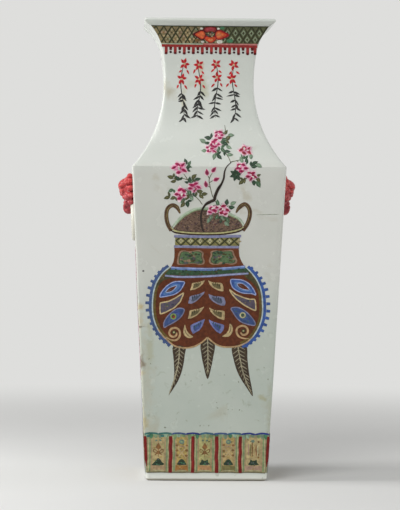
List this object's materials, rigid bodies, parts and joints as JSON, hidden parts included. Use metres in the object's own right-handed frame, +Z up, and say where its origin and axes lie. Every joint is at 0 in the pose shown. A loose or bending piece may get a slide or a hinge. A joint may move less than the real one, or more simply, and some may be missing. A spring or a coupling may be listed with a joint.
{
  "type": "square vase",
  "caption": "Tall square porcelain vase with a tapering body, curved shoulder and flared neck, raised lion masks holding fixed rings, and a painted antique vessel with flowers.",
  "frame": {"origin": "centre of the square foot's bottom plane", "axes": "+Z up, out of the mouth; -Y out of the decorated front face; +X towards the right-hand lion mask as the front is seen"},
  "size_m": [0.2264, 0.1926, 0.58],
  "materials": {
    "glazed_porcelain": "greenish-white glaze, gloss, painted with overglaze enamels",
    "biscuit": "unglazed luting clay, matt",
    "coral_enamel": "iron-red enamel over white porcelain, gloss"
  },
  "bodies": {
    "root": {"foot_front": "glazed_porcelain", "foot_right": "glazed_porcelain", "foot_back": "glazed_porcelain", "foot_left": "glazed_porcelain", "base_slab": "glazed_porcelain", "wall_front": "glazed_porcelain", "wall_right": "glazed_porcelain", "wall_back": "glazed_porcelain", "wall_left": "glazed_porcelain", "corner_coil_back_right": "biscuit", "corner_coil_back_left": "biscuit", "corner_coil_front_left": "biscuit", "corner_coil_front_right": "biscuit", "neck_front": "glazed_porcelain", "neck_right": "glazed_porcelain", "neck_back": "glazed_porcelain", "neck_left": "glazed_porcelain", "lip_front": "glazed_porcelain", "lip_right": "glazed_porcelain", "lip_back": "glazed_porcelain", "lip_left": "glazed_porcelain", "lion_mask_right": "coral_enamel", "lion_mask_left": "coral_enamel", "mask_ring_right": "glazed_porcelain", "mask_ring_left": "glazed_porcelain"}
  },
  "joints": []
}
